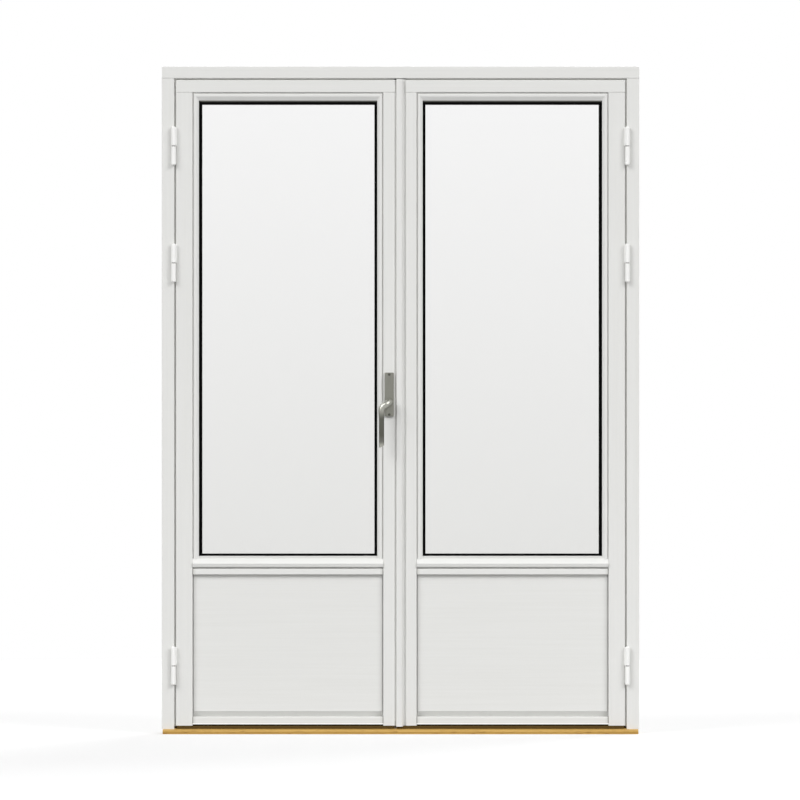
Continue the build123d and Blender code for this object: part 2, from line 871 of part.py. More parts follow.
for name, bolt_foot, tab_z in (
    ("lower_edge_bolt", lower_bolt_foot, edge_bolt_tabs[0]),
    ("upper_edge_bolt", upper_bolt_foot, edge_bolt_tabs[1]),
):
    with BuildPart() as edge_bolt:
        with BuildSketch(Plane.XY.offset(bolt_foot)):
            with Locations((edge_bolt_offset, leaf_middle_y)):
                Circle(rod_radius)
        extrude(amount=edge_bolt_length)
        with BuildSketch(side_plane(-astragal_edge - edge_bolt_tab_proud)):
            with Locations((leaf_middle_y, tab_z)):
                Rectangle(edge_bolt_tab_width, edge_bolt_tab_height)
        extrude(amount=astragal_edge + edge_bolt_tab_proud + edge_bolt_offset)
    keep(edge_bolt, name)

# Lock case and faceplate, let into the left leaf's meeting stile
with BuildPart() as lock_case:
    extrude(
        box_face(
            front_plane(leaf_middle_y + lock_case_thickness / 2),
            (-case_inner - lock_case_depth, case_bottom),
            (-case_inner, case_top),
        ),
        amount=lock_case_thickness,
    )
    with BuildSketch(front_plane(leaf_middle_y)):
        with Locations((handle_x, handle_height)):
            Circle(spindle_hole_radius)
    extrude(amount=lock_case_thickness, both=True, mode=Mode.SUBTRACT)
    for end_z, inwards in ((case_bottom, 1), (case_top, -1)):
        with BuildSketch(Plane.XY.offset(end_z)):
            with Locations((rod_x, leaf_middle_y)):
                Circle(rod_radius + running_clearance)
        extrude(amount=inwards * rod_socket_depth, mode=Mode.SUBTRACT)
keep(lock_case, "lock_case")

with BuildPart() as lock_faceplate:
    extrude(
        plain_face(
            Plane.XY.offset(handle_height - faceplate_height / 2),
            [
                (-case_inner, leaf_middle_y - faceplate_width / 2),
                (-meeting_edge - bevel_front, leaf_middle_y - faceplate_width / 2),
                (-meeting_edge - bevel_back, leaf_middle_y + faceplate_width / 2),
                (-case_inner, leaf_middle_y + faceplate_width / 2),
            ],
        ),
        amount=faceplate_height,
    )
keep(lock_faceplate, "lock_faceplate")

# Rods: the handle drives one up into the head and one down into the sill
for name, low_z, high_z in (
    ("upper_rod", case_top - rod_engaged, leaf_top - rod_setback),
    ("lower_rod", leaf_bottom + rod_setback, case_bottom + rod_engaged),
):
    with BuildPart() as rod:
        with BuildSketch(Plane.XY.offset(low_z)):
            with Locations((rod_x, leaf_middle_y)):
                Circle(rod_radius)
        extrude(amount=high_z - low_z)
        chamfer(rod.edges().filter_by(GeomType.CIRCLE), length=fine_round)
    keep(rod, name)

# Handle: a plate and a cranked lever on each face, on one square spindle
plate_z = (plate_bottom + plate_top) / 2
for face_y, outwards, name in ((front_y, -1, "outer"), (leaf_back_y, 1, "inner")):
    plate_face_y = face_y + outwards * plate_thickness
    with BuildPart() as plate:
        with BuildSketch(front_plane(face_y)):
            with Locations((handle_x, plate_z)):
                RectangleRounded(plate_width, plate_top - plate_bottom, plate_corner)
        extrude(amount=-outwards * plate_thickness)
        shown = plate.faces().sort_by(Axis.Y)[0 if outwards < 0 else -1]
        fillet(shown.edges(), radius=plate_edge_round)
        with BuildSketch(front_plane(face_y)):
            with Locations((handle_x, handle_height)):
                Circle(spindle_hole_radius)
            with Locations(*screw_places):
                Circle(plate_screw_radius)
        extrude(amount=plate_thickness, both=True, mode=Mode.SUBTRACT)
    keep(plate, f"{name}_handle_plate")

    lever_foot_y = plate_face_y + outwards * lever_clearance
    lever_far_y = plate_face_y + outwards * lever_reach
    elbow = (handle_x - lever_sideways, lever_far_y, handle_height - lever_dip)
    with BuildPart() as lever:
        with BuildLine():
            FilletPolyline(
                (handle_x, lever_foot_y, handle_height),
                (handle_x, lever_far_y, handle_height),
                elbow,
                (elbow[0], lever_far_y, handle_height - lever_neck_drop),
                radius=lever_bend,
            )
        with BuildSketch(front_plane(lever_foot_y)):
            with Locations((handle_x, handle_height)):
                Circle(lever_neck_radius)
        sweep()
        with Locations((elbow[0], lever_far_y, handle_height - lever_neck_drop - lever_taper / 2)):
            Cone(bottom_radius=lever_grip_radius, top_radius=lever_neck_radius, height=lever_taper)
        with BuildSketch(Plane.XY.offset(handle_height - lever_length)):
            with Locations(elbow[:2]):
                Circle(lever_grip_radius)
        extrude(amount=lever_length - lever_neck_drop - lever_taper)
        tip_plane = Plane(
            origin=(elbow[0], lever_far_y, handle_height - lever_length + lever_tip_rise / 2),
            z_dir=(-lever_tip_rise, 0, 2 * lever_grip_radius),
        )
        split(bisect_by=tip_plane, keep=Keep.TOP)
        tip = lever.faces().filter_by(tip_plane).sort_by(Axis.Z)[0]
        fillet(tip.edges(), radius=lever_end_round)
        with BuildSketch(front_plane(lever_foot_y)):
            with Locations((handle_x, handle_height)):
                Rectangle(spindle_size, spindle_size)
        extrude(amount=-outwards * spindle_grip, mode=Mode.SUBTRACT)
    keep(lever, f"{name}_lever")

with BuildPart() as spindle:
    spindle_front_y = front_y - plate_thickness - lever_clearance - spindle_grip
    spindle_back_y = leaf_back_y + plate_thickness + lever_clearance + spindle_grip
    with BuildSketch(front_plane(spindle_back_y)):
        with Locations((handle_x, handle_height)):
            Rectangle(spindle_size, spindle_size)
    extrude(amount=spindle_back_y - spindle_front_y)
keep(spindle, "spindle")

# Plate screws, two in each plate
with BuildPart() as plate_screws:
    for face_y, outwards in ((front_y, -1), (leaf_back_y, 1)):
        with BuildSketch(front_plane(face_y + outwards * plate_thickness)):
            with Locations(*screw_places):
                Circle(plate_screw_radius)
        extrude(amount=outwards * plate_screw_depth)
keep(plate_screws, "plate_screws")
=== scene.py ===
# %% [markdown]
# # A pair of french doors
# The doors come from the CAD model as separate pieces of timber, glass, rubber and metal. This lesson
# gives each of them its real finish, adds the small fittings that a joiner screws on last, and lights
# the whole as a plain studio picture. Lengths are in metres and Z is up.

# %% Load the frame
import bpy
import bmesh
import json
import math
import random
from mathutils import Matrix, Vector


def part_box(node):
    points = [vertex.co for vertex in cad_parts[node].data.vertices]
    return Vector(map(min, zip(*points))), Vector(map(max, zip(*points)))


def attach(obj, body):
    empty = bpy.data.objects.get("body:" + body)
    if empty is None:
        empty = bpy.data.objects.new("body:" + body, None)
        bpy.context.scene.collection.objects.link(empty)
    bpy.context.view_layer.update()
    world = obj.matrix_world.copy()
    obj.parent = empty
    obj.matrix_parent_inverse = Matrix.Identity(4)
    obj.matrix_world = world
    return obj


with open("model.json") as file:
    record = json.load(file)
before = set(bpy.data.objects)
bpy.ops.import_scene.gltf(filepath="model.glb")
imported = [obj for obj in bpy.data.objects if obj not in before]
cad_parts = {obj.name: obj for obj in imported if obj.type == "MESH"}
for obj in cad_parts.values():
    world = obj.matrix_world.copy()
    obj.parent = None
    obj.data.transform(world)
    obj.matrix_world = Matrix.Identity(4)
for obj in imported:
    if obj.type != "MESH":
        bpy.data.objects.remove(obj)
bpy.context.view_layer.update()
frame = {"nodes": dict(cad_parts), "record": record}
MM = 0.001

# %% [markdown]
# ## The camera
# The picture is a straight elevation: no side of the frame shows, and the uprights stay parallel. An
# orthographic camera would give that too, but a long lens from far away looks the same and keeps
# working when another view swings it round the object. The distance follows from similar triangles:
# what the picture spans, over the sensor's width, times the lens.

# %% Camera
picture_span = 2.4968
picture_centre_x = -0.0016
picture_centre_z = 1.0424
lens_mm = 300
sensor_mm = 36
door_face_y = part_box("left_top_rail")[0].y

camera_data = bpy.data.cameras.new("elevation camera")
camera_data.lens = lens_mm
camera_data.sensor_width = sensor_mm
camera_data.clip_end = 100
camera = bpy.data.objects.new("elevation camera", camera_data)
bpy.context.scene.collection.objects.link(camera)
camera.location = (picture_centre_x, door_face_y - picture_span * lens_mm / sensor_mm, picture_centre_z)
camera.rotation_euler = (math.pi / 2, 0, 0)
bpy.context.scene.camera = camera
print("camera distance:", round(door_face_y - camera.location.y, 3))

# %% [markdown]
# ## Helpers for materials
# Colours are picked as sRGB hex values, the way a paint chart gives them, while shaders work in linear
# light, so one function converts. Another adds a node, sets it up and wires its inputs, which keeps
# each material readable as a short list.

# %% Colour and node helpers
def linear(hex_code):
    """An sRGB hex value as linear red, green, blue and alpha."""
    channels = [int(hex_code[i:i + 2], 16) / 255 for i in (1, 3, 5)]
    return (*[c / 12.92 if c <= 0.04045 else ((c + 0.055) / 1.055) ** 2.4 for c in channels], 1)


def add(tree, kind, inputs, **settings):
    """A new node with its settings; each input is a value or the output that feeds it."""
    made = tree.nodes.new(kind)
    for name, value in settings.items():
        setattr(made, name, value)
    for name, value in inputs.items():
        if isinstance(value, bpy.types.NodeSocket):
            tree.links.new(value, made.inputs[name])
        else:
            made.inputs[name].default_value = value
    return made


def start_material(name, values):
    """A material with uniform shader values; returns the material, its tree and the shader."""
    material = bpy.data.materials.new(name)
    material.use_nodes = True
    tree = material.node_tree
    shader = tree.nodes["Principled BSDF"]
    for socket, value in values.items():
        shader.inputs[socket].default_value = value
    return material, tree, shader


finishes = {}
print("helpers ready, finishes so far:", len(finishes))

# %% [markdown]
# Patterns are laid out on object coordinates, with their sizes in millimetres, so they stay with a piece
# when it moves. The same coordinates tell how high or how far along a point lies.

# %% Pattern helpers
def arithmetic(tree, operation, first, second):
    """The result of one piece of arithmetic."""
    return add(tree, "ShaderNodeMath", {0: first, 1: second}, operation=operation).outputs[0]


def along_axis(tree, axis):
    """One of the object coordinates, in metres."""
    place = add(tree, "ShaderNodeTexCoord", {})
    return add(tree, "ShaderNodeSeparateXYZ", {"Vector": place.outputs["Object"]}).outputs[axis]


def height_share(tree, low, high):
    """Zero at the low level and one at the high level."""
    return add(tree, "ShaderNodeMapRange", {
        "Value": along_axis(tree, "Z"), "From Min": low, "From Max": high}).outputs["Result"]


def noise(tree, sizes_mm, **inputs):
    """A noise pattern with this typical size along each axis."""
    place = add(tree, "ShaderNodeTexCoord", {})
    scaled = add(tree, "ShaderNodeMapping", {
        "Vector": place.outputs["Object"], "Scale": [1000 / size for size in sizes_mm]})
    return add(tree, "ShaderNodeTexNoise", {
        "Vector": scaled.outputs[0], "Scale": 1.0, **inputs}).outputs["Fac"]


print("pattern helpers:", [helper.__name__ for helper in (arithmetic, along_axis, height_share, noise)])

# %% [markdown]
# A pattern is only a number at each point. A ramp of tones turns it into a colour, and a bump turns it
# into a relief, which tilts the light on the surface without moving any point of it.

# %% Tone and relief helpers
def tone_ramp(tree, factor, tones):
    """A colour by the factor, from rows of (share, hex value)."""
    ramp = add(tree, "ShaderNodeValToRGB", {"Fac": factor})
    elements = ramp.color_ramp.elements
    for share, _ in tones[1:-1]:
        elements.new(share)
    for element, (share, tone) in zip(elements, tones):
        element.position = share
        element.color = linear(tone)
    return ramp.outputs["Color"]


def toned(tree, tint, factor, tones):
    """The tint, multiplied by a ramp of tones."""
    return add(tree, "ShaderNodeMix", {0: 1.0, 6: tint, 7: tone_ramp(tree, factor, tones)},
               data_type="RGBA", blend_type="MULTIPLY").outputs[2]


def colour(tree, shader, tint):
    """Feeds the tint to the shader."""
    tree.links.new(tint, shader.inputs["Base Color"])


def relief(tree, shader, height, depth):
    """Feeds a height pattern, in units of the depth in metres, to the shader's normal."""
    bump = add(tree, "ShaderNodeBump", {"Height": height, "Distance": depth, "Strength": 1.0})
    tree.links.new(bump.outputs["Normal"], shader.inputs["Normal"])


print("tone helpers:", [helper.__name__ for helper in (tone_ramp, toned, colour, relief)])

# %% [markdown]
# ## Painted timber
# The frame and the leaves are planed pine under sprayed white satin paint. The coat hides the colour of
# the wood, but its latewood ridges still telegraph through as long shallow lines along each piece, and
# the spray dries to a faint orange peel. Uprights and level pieces come from boards cut their own way,
# so the materials differ in the direction of the grain. Where a rail meets the stiles, shade is painted
# into the rail's tint: a dark line at the joint and a soft painted shade fading from it, as the stiles
# would cast it. Those rails take their two ends as well, and the tint is darkened by the distance to the
# nearer one.

# %% Painted timber
grain_spacing_mm = 7
grain_length_mm = 420
peel_mm = 4
paint_relief = 0.12 * MM
paint_tones = ((0.0, "#DDDDDA"), (1.0, "#E4E4E2"))
# A dark joint line, then painted shade fading over this reach from each end of a rail
joint_shade_reach = 12 * MM
joint_line_and_painted_shade_tones = ((0.0, "#8E8E8A"), (0.14, "#9A9A95"), (0.2, "#EDEDEB"), (1.0, "#FFFFFF"))


def painted_timber(name, along, ends=None):
    """Paint over grain along one axis (0 for X, 2 for Z); the ends are those of a jointed rail."""
    material, tree, shader = start_material(name, {"Roughness": 0.42, "IOR": 1.47})
    grain_sizes = [grain_spacing_mm] * 3
    grain_sizes[along] = grain_length_mm
    grain = noise(tree, grain_sizes, Detail=3.0, Roughness=0.6)
    peel = noise(tree, [peel_mm] * 3, Detail=1.0)
    tint = tone_ramp(tree, grain, paint_tones)
    # Painted shade: the tint darkens towards both ends of the rail, a dark line at the joint fading out
    if ends:
        sideways = along_axis(tree, "X")
        from_low = arithmetic(tree, "SUBTRACT", sideways, ends[0])
        to_high = arithmetic(tree, "SUBTRACT", ends[1], sideways)
        nearer = arithmetic(tree, "MINIMUM", from_low, to_high)
        tint = toned(tree, tint, arithmetic(tree, "DIVIDE", nearer, joint_shade_reach), joint_line_and_painted_shade_tones)
    colour(tree, shader, tint)
    relief(tree, shader, arithmetic(tree, "ADD", grain, peel), paint_relief)
    return material


painted_upright = painted_timber("satin painted pine, upright grain", 2)
painted_level = painted_timber("satin painted pine, level grain", 0)
painted_rails = {}
for hand in ("left", "right"):
    rail_low, rail_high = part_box(f"{hand}_bottom_rail")
    rail_finish = painted_timber(
        f"satin painted pine, {hand} rails with worked joints", 0, (rail_low.x, rail_high.x))
    painted_rails[f"{hand}_bottom_rail"] = painted_rails[f"{hand}_mid_rail"] = rail_finish
finishes["painted_timber"] = painted_upright
print("painted timber:", painted_upright.name, "/", painted_level.name)

# %% [markdown]
# ## Oiled hardwood
# The sill is a single board of golden hardwood, planed and oiled. It shows long streaks of darker
# latewood with short open pores between them, all along the board. A darker band just above its lower
# edge is painted shade, where the rounding of the nose turns down from the light.

# %% Oiled hardwood
streak_sizes_mm = (260, 5, 5)
streak_relief = 0.3 * MM
streak_tones = ((0.0, "#AA8238"), (1.0, "#D9B469"))
pore_sizes_mm = (30, 1.6, 1.6)
pore_start, pore_full = 0.58, 0.72
pore_tone = "#8A6225"
nose_shade_reach = 8 * MM
nose_painted_shade_tones = ((0.0, "#FFFFFF"), (0.25, "#FFFFFF"), (0.36, "#DDD2A8"),
              (0.68, "#DDD2A8"), (0.8, "#FFFFFF"), (1.0, "#FFFFFF"))

oiled, tree, shader = start_material("oiled golden hardwood, planed", {"Roughness": 0.45, "IOR": 1.47})
streaks = noise(tree, streak_sizes_mm, Detail=4.0, Roughness=0.62, Distortion=0.3)
pores = noise(tree, pore_sizes_mm, Detail=2.0)
pore_share = add(tree, "ShaderNodeMapRange", {
    "Value": pores, "From Min": pore_start, "From Max": pore_full})
wood = add(tree, "ShaderNodeMix", {
    0: pore_share.outputs["Result"], 6: tone_ramp(tree, streaks, streak_tones), 7: linear(pore_tone)},
    data_type="RGBA").outputs[2]
# Painted shade: a darker band a few millimetres above the lower edge of the nose
nose_painted_shade_share = arithmetic(tree, "DIVIDE", along_axis(tree, "Z"), nose_shade_reach)
colour(tree, shader, toned(tree, wood, nose_painted_shade_share, nose_painted_shade_tones))
relief(tree, shader, streaks, streak_relief)
finishes["oiled_hardwood"] = oiled
print("sill finish:", oiled.name)

# %% [markdown]
# ## Rubber
# The glazing gaskets and the seals behind the leaves are extruded black rubber, and the strips that
# close the gaps are a pale grey one that disappears beside the paint. Both are matt, with a dusty
# bloom in patches. Most of the light that meets rubber goes into its carbon filler, so the black one
# hardly mirrors anything.

# %% Rubber
bloom_mm = 12
bloom_relief = 0.2 * MM


def extruded_rubber(name, low, high, mirror):
    """Matt rubber between two tones, with its share of mirrored light."""
    material, tree, shader = start_material(name, {"Roughness": 0.7, "Specular IOR Level": mirror})
    bloom = noise(tree, [bloom_mm] * 3, Detail=3.0)
    colour(tree, shader, tone_ramp(tree, bloom, ((0.0, low), (1.0, high))))
    relief(tree, shader, bloom, bloom_relief)
    return material


black_mirror, pale_mirror = 0.03, 0.4
finishes["black_rubber"] = extruded_rubber("black rubber, extruded", "#020202", "#060606", black_mirror)
finishes["pale_rubber"] = extruded_rubber("pale grey rubber, extruded", "#DADAD6", "#E8E8E4", pale_mirror)
print("seal finishes:", finishes["black_rubber"].name, "/", finishes["pale_rubber"].name)

# %% [markdown]
# ## Glass
# Each leaf holds a sealed unit of two float panes. Light that crosses a pane loses a little to the
# glass and its thin coating. A tall pane mirrors the grey of the ground near its foot, and that
# reflection is painted into the tint: paler near the head than near the foot, falling slowly with height,
# the same in every view, and the shader's own transmission and Fresnel do the rest.

# %% Glass
pane_low, pane_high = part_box("left_outer_pane")
pane_painted_reflection_tones = ((0.0, "#F0F0EF"), (1.0, "#FAFAFA"))

glass, tree, shader = start_material(
    "clear float glass, coated, painted ground reflection", {"Transmission Weight": 1.0, "Roughness": 0.0, "IOR": 1.5})
# Painted reflection: the tint grows greyer from the head of the pane down to its foot
colour(tree, shader, tone_ramp(tree, height_share(tree, pane_low.z, pane_high.z), pane_painted_reflection_tones))
finishes["clear_glass"] = glass
print("pane finish:", glass.name)

# %% [markdown]
# ## Metals
# The lever and its plates are satin nickel: brushed along their length, so the highlight spreads across
# the strokes. A reflection is painted into the lever's tone along its height: pale at the neck, dark at the
# grip, and a painted highlight at the tip. The plate screw heads are painted dark, as the shade of their
# recesses. Bolts, keeps and the lock front are zinc plated steel, brighter and cloudier, and the spacer bar
# between the panes is black anodised.

# %% Metals
brush_mm = 0.8
brush_sizes_mm = (brush_mm, brush_mm, 60)
brush_relief = 0.1 * MM
satin_roughness = 0.33
cloud_mm = 9
lever_painted_reflection_tones = ((0.0, "#B0B0A8"), (0.06, "#9C9C94"), (0.12, "#6C6C66"), (0.25, "#57574F"),
               (0.6, "#5C5C55"), (0.78, "#A2A29A"), (1.0, "#A6A69E"))


def metal(name, sizes_mm, tones, detail, roughness, depth=None, levels=None):
    """A metal with tones by its pattern, or by height between two levels, and a relief if it has one."""
    material, tree, shader = start_material(name, {"Metallic": 1.0, "Roughness": roughness})
    pattern = noise(tree, sizes_mm, Detail=detail)
    factor = height_share(tree, *levels) if levels else pattern
    colour(tree, shader, tone_ramp(tree, factor, tones))
    if depth:
        relief(tree, shader, pattern, depth)
    return material


lever_low, lever_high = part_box("outer_lever")
satin = metal(
    "satin nickel, brushed", brush_sizes_mm, ((0.0, "#74746C"), (1.0, "#92928A")),
    detail=3.0, roughness=satin_roughness, depth=brush_relief)
# Painted reflection and highlight: tones by height, pale neck, dark grip and a bright tip
lever_painted_reflection = metal(
    "satin nickel, painted reflection along the lever", brush_sizes_mm, lever_painted_reflection_tones,
    detail=3.0, roughness=satin_roughness, depth=brush_relief, levels=(lever_low.z, lever_high.z))
# Painted shade: the screw heads are dark to stand for the shade in their recesses
screw_painted_shade = metal(
    "dark steel, turned, painted recess shade", [brush_mm] * 3, ((0.0, "#4A4A44"), (1.0, "#5E5E57")),
    detail=2.0, roughness=0.4)
zinc = metal(
    "bright zinc plated steel", [cloud_mm] * 3, ((0.0, "#B4B5B6"), (1.0, "#D2D3D2")),
    detail=4.0, roughness=0.3)
spacer = metal(
    "black anodised aluminium, rolled", [cloud_mm] * 3, ((0.0, "#2A2A2B"), (1.0, "#3A3A3B")),
    detail=3.0, roughness=0.45)
finishes.update(satin_metal=satin, bright_steel=zinc, spacer_metal=spacer)
print("metals:", [made.name for made in (satin, lever_painted_reflection, screw_painted_shade, zinc, spacer)])

# %% [markdown]
# ## Powder coat and nylon
# The hinges are powder coated to match the paint, a coat that dries slightly pebbled, and they turn on
# washers of grey nylon, dark enough to stand as painted shade in the split between the knuckles.

# %% Powder coat and nylon
pebble_mm = 2.5
pebble_relief = 0.15 * MM
powder, tree, shader = start_material("white powder coat, baked", {"Roughness": 0.3, "IOR": 1.5})
pebbles = noise(tree, [pebble_mm] * 3, Detail=1.0)
colour(tree, shader, tone_ramp(tree, pebbles, ((0.0, "#F2F2F0"), (1.0, "#FAFAF8"))))
relief(tree, shader, pebbles, pebble_relief)
finishes["white_steel"] = powder

# Partly painted shade: the washers are dark grey so that the split between the knuckles reads dark
nylon, tree, shader = start_material("grey nylon, moulded, painted split shade", {"Roughness": 0.5})
colour(tree, shader, tone_ramp(tree, noise(tree, [cloud_mm] * 3), ((0.0, "#55554F"), (1.0, "#63635D"))))
finishes["nylon"] = nylon
print("finishes:", sorted(finishes))

# %% [markdown]
# ## Dressing the CAD pieces
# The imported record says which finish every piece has, so one loop gives it. Only the timber needs a
# choice of grain: rails, the head, the panels and the level beads run sideways and all else runs
# upright. The levers and the plate screws have finishes of their own.

# %% Dress the CAD pieces
level_words = ("rail", "head", "top_bead", "bottom_bead", "panel")
# The levers carry a painted reflection and the plate screws a painted shade
own_finishes = {"outer_lever": lever_painted_reflection, "inner_lever": lever_painted_reflection, "plate_screws": screw_painted_shade}
for row in frame["record"]["subparts"]:
    node, slot = row["node"], row["material_slot"]
    finish = own_finishes.get(node, finishes[slot])
    if slot == "painted_timber" and any(word in node for word in level_words):
        finish = painted_rails.get(node, painted_level)
    frame["nodes"][node].data.materials[0] = finish

# %% [markdown]
# ## Screws
# The plates of the handle, the lock and the bolts are held by raised countersunk screws with a cross
# recess. A lathe turns such a head, and a punch then presses the cross into it, so the model does the
# same: a short profile is spun round its axis, four cuts mark the sides of the cross on the dome, and
# the faces between the cuts are pushed down.

# %% A screw head
recess_share = 0.72
arm_share = 0.26
weld_share = 0.001
head_profile_shares = [(0, 1), (recess_share, 0.72), (0.92, 0.34), (1, 0), (0, 0)]
head_steps = 24


def add_screw_head(mesh, centre, outwards, radius, rise, recess):
    """A domed head with a cross recess, standing on the face at the centre."""
    head = bmesh.new()
    points = [head.verts.new((radius * out, 0, rise * up)) for out, up in head_profile_shares]
    edges = [head.edges.new(pair) for pair in zip(points, points[1:])]
    bmesh.ops.spin(head, geom=points + edges, axis=(0, 0, 1), cent=(0, 0, 0), angle=2 * math.pi,
                   steps=head_steps, use_merge=True, use_duplicate=False)
    bmesh.ops.remove_doubles(head, verts=head.verts, dist=radius * weld_share)
    for way in (Vector((1, 0, 0)), Vector((0, 1, 0))):
        for side in (-1, 1):
            bmesh.ops.bisect_plane(head, geom=head.verts[:] + head.edges[:] + head.faces[:],
                                   plane_co=way * side * arm_share * radius, plane_no=way)
    bmesh.ops.remove_doubles(head, verts=head.verts, dist=radius * weld_share)
    arms = []
    for face in head.faces:
        middle = face.calc_center_median()
        in_arm = min(abs(middle.x), abs(middle.y)) < arm_share * radius
        if in_arm and middle.xy.length < recess_share * radius and middle.z > rise / 2:
            arms.append(face)
    pressed = bmesh.ops.extrude_face_region(head, geom=arms)["geom"]
    sunk = [part for part in pressed if isinstance(part, bmesh.types.BMVert)]
    bmesh.ops.delete(head, geom=arms, context="FACES")
    bmesh.ops.translate(head, verts=sunk, vec=(0, 0, -recess))
    bmesh.ops.recalc_face_normals(head, faces=head.faces)
    turn = Vector((0, 0, 1)).rotation_difference(outwards).to_matrix().to_4x4()
    bmesh.ops.transform(head, matrix=Matrix.Translation(centre) @ turn, verts=head.verts)
    made = bpy.data.meshes.new("head")
    head.to_mesh(made)
    head.free()
    mesh.from_mesh(made)
    bpy.data.meshes.remove(made)


print("points in a head's profile:", len(head_profile_shares))

# %% [markdown]
# A finished shape becomes a piece: an object with its finish that rides on one body of the doors. All
# the screw heads of one fitting are one such piece. The plates of the handle have theirs near both ends,
# on the outside and on the room side.

# %% Screws of the handle plates
def add_piece(name, body, finish, shape):
    """Turns the finished bmesh into a piece of its body, with its finish."""
    bmesh.ops.recalc_face_normals(shape, faces=shape.faces)
    mesh = bpy.data.meshes.new(name)
    shape.to_mesh(mesh)
    shape.free()
    mesh.materials.append(finish)
    piece = bpy.data.objects.new(name, mesh)
    bpy.context.scene.collection.objects.link(piece)
    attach(piece, body)
    print(name, "faces:", len(mesh.polygons))


def screw_set(name, body, finish, places, radius, rise, recess):
    """One piece with a head at each (centre, outward direction)."""
    heads = bmesh.new()
    for centre, outwards in places:
        add_screw_head(heads, Vector(centre), Vector(outwards), radius, rise, recess)
    add_piece(name, body, finish, heads)


plate_screw_radius = 4 * MM
plate_screw_rise = 1.2 * MM
plate_screw_recess = 0.7 * MM
plate_screw_inset = 6 * MM
plate_screw_places = []
for node, outwards in (("outer_handle_plate", (0, -1, 0)), ("inner_handle_plate", (0, 1, 0))):
    low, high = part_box(node)
    face_y = low.y if outwards[1] < 0 else high.y
    for height in (low.z + plate_screw_inset, high.z - plate_screw_inset):
        plate_screw_places.append((((low.x + high.x) / 2, face_y, height), outwards))
screw_set("handle_plate_screw_heads", "left_leaf", screw_painted_shade,
          plate_screw_places, plate_screw_radius, plate_screw_rise, plate_screw_recess)

# %% [markdown]
# The other screws only show when a leaf stands open: along the lock's front, beside the slots of the
# edge bolts, in the keeps of the head and in the flags of the hinges. They lie almost flush, because
# little room is left between the closed leaves.

# %% Screws of the lock and bolts
flush_radius = 3.4 * MM
flush_rise = 0.6 * MM
flush_recess = 0.35 * MM
end_inset = 12 * MM

plate_low, plate_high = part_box("lock_faceplate")
stile_low, stile_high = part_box("left_meeting_stile")
middle_y = (plate_low.y + plate_high.y) / 2
edge_bevel = 3 * MM
edge_way = Vector((stile_high.y - stile_low.y, edge_bevel, 0)).normalized()
lock_screw_shares = (0, 0.33, 0.67, 1)
lock_rise = plate_high.z - plate_low.z - 2 * end_inset
lock_heights = [plate_low.z + end_inset + share * lock_rise for share in lock_screw_shares]
screw_set("lock_faceplate_screw_heads", "left_leaf", zinc,
          [((stile_high.x - edge_bevel / 2, middle_y, height), edge_way) for height in lock_heights],
          flush_radius, flush_rise, flush_recess)

bolts_low, bolts_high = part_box("edge_bolt_plates")
bolt_plate_height = 120 * MM
bolt_heights = [foot + inset for foot in (bolts_low.z, bolts_high.z - bolt_plate_height)
                for inset in (end_inset, bolt_plate_height - end_inset)]
screw_set("edge_bolt_plate_screw_heads", "right_leaf", zinc,
          [((bolts_low.x, middle_y, height), (-1, 0, 0)) for height in bolt_heights],
          flush_radius, flush_rise, flush_recess)

keeps_low, keeps_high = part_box("bolt_keeps")
keep_half_width = 13 * MM
keep_screw_inset = 6 * MM
screw_set("bolt_keep_screw_heads", "frame", zinc,
          [((x, y, keeps_low.z), (0, 0, -1))
           for x in (keeps_low.x + keep_half_width, keeps_high.x - keep_half_width)
           for y in (keeps_low.y + keep_screw_inset, keeps_high.y - keep_screw_inset)],
          flush_radius, flush_rise, flush_recess)

# %% [markdown]
# Each hinge has one flag in the jamb and one in the edge of the leaf, above it. The lowest and highest
# ends of the hinges come from their boxes, and the middle hinge hangs a known way under the top one. The
# screws sit behind the pale strip, where a driver reaches them with the leaf open.

# %% Screws of the hinges
hinge_half = 60 * MM
middle_drop = 365 * MM
flag_middle = 29 * MM
flag_screw_step = 18 * MM
flag_screw_depth = 26.5 * MM
door_gap = 5 * MM
for hand, side in (("left", -1), ("right", 1)):
    top_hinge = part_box(f"{hand}_leaf_hinges")[1].z - hinge_half
    low_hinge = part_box(f"{hand}_frame_hinges")[0].z + hinge_half
    leaf_low, leaf_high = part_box(f"{hand}_hinge_stile")
    leaf_edge = leaf_low.x if side < 0 else leaf_high.x
    screw_y = leaf_low.y + flag_screw_depth
    for carrier, body, face_x, facing, half_side in (
            ("frame", "frame", leaf_edge + side * door_gap, -side, -1),
            ("leaf", f"{hand}_leaf", leaf_edge, side, 1)):
        heights = [hinge + half_side * flag_middle + step * flag_screw_step
                   for hinge in (top_hinge, top_hinge - middle_drop, low_hinge) for step in (-1, 0, 1)]
        places = [((face_x, screw_y, height), (facing, 0, 0)) for height in heights]
        screw_set(f"{hand}_{carrier}_hinge_screw_heads", body, powder, places,
                  flush_radius, flush_rise, flush_recess)

# %% [markdown]
# ## Lips and tape of the glazing
# A glazing gasket is an extrusion with a soft lip, which folds over the corner of the bead so that no
# water gets behind it. The section of the lip is laid out once, from the bead's corner, and extruded
# along both sides of the glass. Under the top bead there is a strip of glazing tape instead, dark grey as
# painted shade under the bead, and along the foot the ledge of the nosing does that work.

# %% Gasket lips and glazing tape
lip_section_mm = [(0, 0), (-1.0, 0.6), (-1.2, 1.0), (-0.8, 1.5), (0, 1.5),
                  (0.6, 1.1), (1.0, 0.4), (1.0, -3), (0, -3)]
bead_fall = 6 * MM
tape_height = 3.8 * MM
tape_thickness = 2 * MM
tape_mirror = 0.2


def bar(low, high):
    """A bmesh of one straight bar between two corners."""
    shape = bmesh.new()
    low, high = Vector(low), Vector(high)
    bmesh.ops.create_cube(shape, size=1, matrix=Matrix.LocRotScale((low + high) / 2, None, high - low))
    return shape
